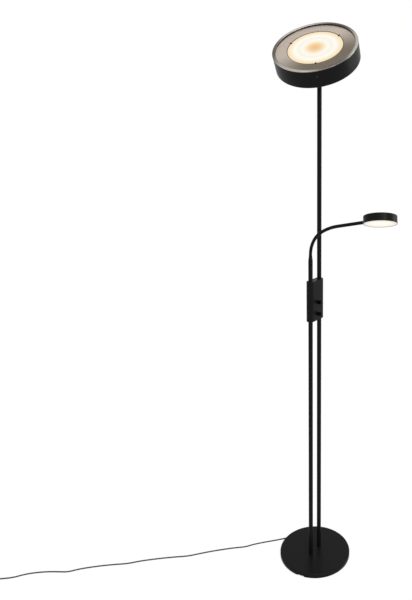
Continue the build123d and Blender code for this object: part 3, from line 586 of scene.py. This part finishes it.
@dataclass
class ReadingArm:
    """The bending arm, a ribbed link on each of its bodies, and the reading light at its end.

    A link starts in a dome about its first joint and ends in a cup about the next one, so the dome
    rolls in the cup at every pose.
    """

    shop: Workshop
    stem_x: float = -0.0244
    stem_top: float = 1.116
    link: float = 0.03275
    turns: Tuple[float, ...] = (19.35, 19.35, 19.35, 9.15, 9.15, 0.0, 0.0, 0.0)
    radius: float = 0.0055
    valley: float = 0.00515
    bore: float = 0.0032
    cup: float = 0.0058
    rib: float = 0.0021
    rib_points: int = 4
    arc_points: int = 6
    sides: int = 32
    sharp: float = 1.0
    on_cup: float = 1e-7
    roll: float = -18.6
    collar: float = 0.009
    light_radius: float = 0.0512
    sheet_radius: float = 0.05
    sheet_frost: float = 0.45

    def station(self, distance: float) -> Matrix:
        """The arm's frame at a distance along it.

        Args:
            distance: metres from the top of the stem.

        Returns:
            The frame there, with Z along the arm.
        """
        here = Matrix.Translation((self.stem_x, 0.0, self.stem_top))
        left = distance
        for turn in self.turns:
            step = min(left, self.link)
            angle = math.radians(turn) * step / self.link
            if angle == 0:
                here = here @ Matrix.Translation((0.0, 0.0, step))
            else:
                bend = step / angle
                move = (0.0, -bend * (1.0 - math.cos(angle)), bend * math.sin(angle))
                here = here @ Matrix.Translation(move) @ Matrix.Rotation(angle, 4, "X")
            left -= step
            if left <= 0:
                break
        return here

    def arc(self, reach: float, height: float, outer: float) -> List[Tuple[float, float]]:
        """Points on the lower half of a ball about a joint, from its bore outwards.

        Args:
            reach: the ball's radius.
            height: the joint's distance along the link.
            outer: how far out the arc goes.

        Returns:
            Each point's radius and distance along the link.
        """
        low, high = math.acos(self.bore / reach), math.acos(outer / reach)
        angles = [low + (high - low) * i / self.arc_points for i in range(self.arc_points + 1)]
        return [(reach * math.cos(angle), height - reach * math.sin(angle)) for angle in angles]

    def section(self, last: bool) -> List[Tuple[float, float]]:
        """Half the section of a straightened link, as a closed outline.

        Args:
            last: whether the link ends flat, in the reading light's collar.

        Returns:
            Each point's radius and distance from the link's first joint.
        """
        dome = self.arc(self.radius, 0.0, self.radius)
        seat = [(self.bore, self.link)] if last else self.arc(self.cup, self.link, self.radius)[:-1]
        end = self.link if last else self.link - math.sqrt(self.cup ** 2 - self.radius ** 2)
        ribs = round(end / self.rib)
        steps = ribs * self.rib_points
        outside = []
        for i in range(1, steps + 1):
            wave = 0.5 + 0.5 * math.cos(2.0 * math.pi * i / self.rib_points)
            outside.append((self.valley + (self.radius - self.valley) * wave, end * i / steps))
        heights = [self.link * i / ribs for i in range(ribs)]
        inside = [(self.bore, height) for height in heights if height < seat[0][1]]
        return dome + outside + seat[::-1] + inside[::-1]

    def place(self, point: Vector, start: float) -> Vector:
        """Where a point of a straightened link lies on the arm.

        Args:
            point: the point, with Z along the link from its first joint.
            start: how far along the arm that joint is.

        Returns:
            The point; a dome or a cup keeps its round form about its joint.
        """
        from_joint = (point - Vector((0.0, 0.0, self.link))).length
        seated = abs(from_joint - self.cup) < self.on_cup
        anchor = self.link if seated else max(0.0, point.z)
        return self.station(start + anchor) @ Vector((point.x, point.y, point.z - anchor))

    def sleeve(self, number: int) -> bmesh.types.BMesh:
        """One ribbed link.

        Args:
            number: the link's number, from 0 at the stem.

        Returns:
            The link, in place.
        """
        mesh = bmesh.new()
        outline = self.section(number == len(self.turns) - 1)
        verts = [mesh.verts.new((reach, 0.0, along)) for reach, along in outline]
        for vert, after in zip(verts, verts[1:] + verts[:1]):
            mesh.edges.new((vert, after))
        bmesh.ops.spin(mesh, geom=mesh.verts[:] + mesh.edges[:], cent=(0, 0, 0), axis=(0, 0, 1),
                       angle=2.0 * math.pi, steps=self.sides, use_merge=True)
        bmesh.ops.remove_doubles(mesh, verts=mesh.verts, dist=SAME_POINT)
        for vert in mesh.verts:
            vert.co = self.place(vert.co, number * self.link)
        for edge in mesh.edges:
            edge.smooth = edge.calc_face_angle(0.0) < self.sharp
        return mesh

    def build(self) -> None:
        """Make the links and dress the reading light."""
        for number in range(len(self.turns)):
            piece = self.shop.piece(f"arm_sleeve_{number + 1}", self.sleeve(number), SLEEVE_BLACK,
                                    "black_paint")
            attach(piece, f"arm_{number + 1}")
            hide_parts(f"gooseneck_link_{number + 1}")
        self.dress_light()

    def dress_light(self) -> None:
        """Dress the reading light; its opal sheet glows in rings about its own axis."""
        place = self.station(len(self.turns) * self.link)
        place = place @ Matrix.Rotation(math.radians(self.roll), 4, "Z")
        place = place @ Matrix.Translation((0.0, 0.0, self.collar + self.light_radius))
        place = place @ Matrix.Rotation(math.radians(-90.0), 4, "X")
        opal = LitOpal("lit_opal_reading", tuple(place.translation), tuple(place.to_euler("XYZ")),
                       radius=self.sheet_radius, rings=READING_GLOW, frost=self.sheet_frost)
        self.shop.dress(POWDER_BLACK, "reading_shell")
        self.shop.dress(COLLAR_GREY, "reading_collar")
        self.shop.dress(ZINC, "collar_nut")
        self.shop.dress(BOARD_WHITE, "reading_board")
        self.shop.dress(opal, "reading_diffuser")


@dataclass
class MainsCord:
    """The mains lead from the base, its put-away coil and its plug."""

    shop: Workshop
    radius: float = 0.00225
    floor: float = 0.00225
    raised: float = 0.00325
    layer: float = 0.005
    outer: float = 0.0325
    pitch: float = 0.006
    inward: int = 5
    outward: int = 4
    step: float = 30.0
    tail: float = 0.038
    into_plug: float = 0.006
    length: float = 1.855
    leaves_at: Point = (-0.004, 0.1255, 0.0042)
    bevel_steps: int = 5
    curve_steps: int = 6
    curve_order: int = 3

    def route(self) -> List[Vector]:
        """The listed points of the free stretch, in metres."""
        start = [(12.0, 110.0, 5.2), (-4.0, 125.5, 4.2)]
        ground = [(-35, 152), (-70, 181), (-104, 207), (-130, 221), (-157, 250), (-190, 280),
                  (-223, 308), (-257, 334), (-287, 356), (-318, 391), (-348, 422), (-378, 451),
                  (-408, 478), (-438, 500), (-468, 534), (-497, 564), (-527, 592), (-557, 617),
                  (-587, 636), (-603, 660), (-626, 692), (-652, 721), (-681, 746), (-713, 764)]
        arrive = [(-742, 793), (-772, 826)]
        points = [Vector(point) / MILLIMETRES for point in start]
        for height, stretch in ((self.floor, ground), (self.raised, arrive)):
            points += [Vector((x / MILLIMETRES, y / MILLIMETRES, height)) for x, y in stretch]
        return points

    def coil(self, before: Vector, end: Vector) -> List[Vector]:
        """The coil's turns and its tail, carried on from the free stretch.

        Args:
            before: the last point but one of the stretch.
            end: its last point.

        Returns:
            The points that follow it.
        """
        radii = [self.outer - self.pitch / 2 * i for i in range(self.inward + 1)]
        radii += [radii[-1] + self.pitch / 2 * i for i in range(self.outward + 1)]
        heading = math.atan2(end.y - before.y, end.x - before.x) - math.pi / 2
        place = Matrix.Translation((end.x, end.y, 0.0)) @ Matrix.Rotation(heading, 4, "Z")
        place = place @ Matrix.Translation((-self.outer, 2 * self.radius, 0.0))
        points = []
        halves = len(radii) - 1
        outside = 1.0 / math.cos(math.radians(self.step / 2))
        for i in range(int(halves * HALF_TURN / self.step)):
            turned = (i + 0.5) * self.step
            half = int(turned // HALF_TURN)
            share = turned / HALF_TURN - half
            reach = (radii[half] * (1.0 - share) + radii[half + 1] * share) * outside
            height = self.raised + self.layer * min(max(turned / HALF_TURN - self.inward, 0.0), 1.0)
            angle = math.radians(turned)
            points.append(place @ Vector((reach * math.cos(angle), reach * math.sin(angle), height)))
        top = self.raised + self.layer
        side = radii[-1] * (-1) ** halves
        points.append(place @ Vector((side, self.tail * 0.5, top)))
        points.append(place @ Vector((side, self.tail + self.into_plug, top)))
        return points

    def build(self) -> None:
        """Make the cord and dress its tie and plug."""
        points = self.route()
        points += self.coil(points[-2], points[-1])
        curve = bpy.data.curves.new("mains_cord", "CURVE")
        curve.dimensions = "3D"
        curve.bevel_depth = self.radius
        curve.bevel_resolution = self.bevel_steps
        curve.resolution_u = self.curve_steps
        curve.use_fill_caps = True
        line = curve.splines.new("NURBS")
        line.points.add(len(points) - 1)
        for control, point in zip(line.points, points):
            control.co = (*point, 1.0)
        line.order_u = self.curve_order
        line.use_endpoint_u = True
        curve.materials.append(self.shop.material(CORD_BLACK))
        cord = bpy.data.objects.new("mains_cord", curve)
        bpy.context.collection.objects.link(cord)
        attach(cord, "stand")
        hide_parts("cord_lead", "cord_coil")
        self.shop.dress(PLASTIC_BLACK, "plug_body", "coil_tie")
        self.shop.dress(PIN_METAL, "plug_pins")
        LOG.info("made mains_cord with %d points", len(points))


class Source(Enum):
    """The kinds of studio light."""

    PANEL = "AREA"
    SKY = "SUN"


@dataclass
class StudioLight:
    """One soft studio light.

    A panel is round, with a width in metres; a sky light is even, with a width in degrees.
    """

    name: str
    source: Source
    place: Point
    width: float
    power: float
    aim: Point = (0.0, 0.0, 1.0)

    def build(self) -> None:
        """Hang the light."""
        data = bpy.data.lights.new(self.name, self.source.value)
        data.energy = self.power
        if self.source is Source.PANEL:
            data.shape = "DISK"
            data.size = self.width
        else:
            data.angle = math.radians(self.width)
        light = bpy.data.objects.new(self.name, data)
        light.location = self.place
        ahead = Vector(self.aim) - Vector(self.place)
        light.rotation_euler = ahead.to_track_quat("-Z", "Y").to_euler()
        bpy.context.collection.objects.link(light)
        LOG.info("hung %s", self.name)


STUDIO_LIGHTS = (
    StudioLight("sky", Source.SKY, place=(-0.6, -1.0, 4.0), width=70.0, power=2.2),
    StudioLight("key", Source.PANEL, place=(-1.3, -2.8, 2.6), width=1.2, power=32.0),
    StudioLight("fill", Source.PANEL, place=(2.2, -2.2, 1.6), width=1.8, power=26.0),
)


@dataclass
class Studio:
    """The camera, the pale floor, the lights and the white surround."""

    shop: Workshop
    eye: Point = (-1.59390, -1.16748, 1.59789)
    turn: Tuple[float, float, float] = (79.644, 0.0, -53.778)
    lens: float = 36.846
    sensor: float = 36.0
    shift: Tuple[float, float] = (-0.18148, -0.13752)
    far: float = 100.0
    floor_size: float = 160.0
    floor_squares: int = 8
    ambient: float = 0.5

    def build(self) -> None:
        """Set up everything round the lamp."""
        self.camera()
        self.floor()
        self.surround()
        for light in STUDIO_LIGHTS:
            light.build()

    def camera(self) -> None:
        """Stand the camera where the photograph was taken."""
        data = bpy.data.cameras.new("camera")
        data.lens = self.lens
        data.sensor_width = self.sensor
        data.sensor_fit = "AUTO"
        data.shift_x, data.shift_y = self.shift
        data.clip_end = self.far
        camera = bpy.data.objects.new("camera", data)
        camera.location = self.eye
        camera.rotation_euler = Euler([math.radians(angle) for angle in self.turn], "XYZ")
        bpy.context.collection.objects.link(camera)
        bpy.context.scene.camera = camera

    def floor(self) -> None:
        """Lay the floor."""
        mesh = bmesh.new()
        bmesh.ops.create_grid(mesh, x_segments=self.floor_squares, y_segments=self.floor_squares,
                              size=self.floor_size / 2)
        data = bpy.data.meshes.new("floor")
        mesh.to_mesh(data)
        mesh.free()
        data.materials.append(self.shop.material(FLOOR_WHITE))
        floor = bpy.data.objects.new("floor", data)
        bpy.context.collection.objects.link(floor)
        floor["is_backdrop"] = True

    def surround(self) -> None:
        """Hang a surround, white to the eye and in reflections, and a plain soft light to all else."""
        paint = Paint(bpy.data.worlds.new("surround"))
        bpy.context.scene.world = paint.owner
        white = paint.add("ShaderNodeBackground", {}, {"Color": opaque(WHITE), "Strength": 1.0})
        soft = paint.add("ShaderNodeBackground", {}, {"Color": opaque(WHITE), "Strength": self.ambient})
        sockets = {0: paint.seen(), 1: paint.out(soft, 0), 2: paint.out(white, 0)}
        both = paint.add("ShaderNodeMixShader", {}, sockets)
        paint.add("ShaderNodeOutputWorld", {}, {"Surface": paint.out(both, 0)})


def main() -> None:
    """Build the lamp's looks, sub-assembly by sub-assembly."""
    logging.basicConfig(level=logging.INFO, format="%(name)s: %(message)s")
    bpy.context.scene.view_settings.view_transform = "Standard"
    cad = [corner.copy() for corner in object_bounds()]
    shop = Workshop()
    Studio(shop).build()
    MainsCord(shop).build()
    Base(shop).build()
    Stand(shop).build()
    Uplighter(shop).build()
    ReadingArm(shop).build()


if __name__ == "__main__":
    main()
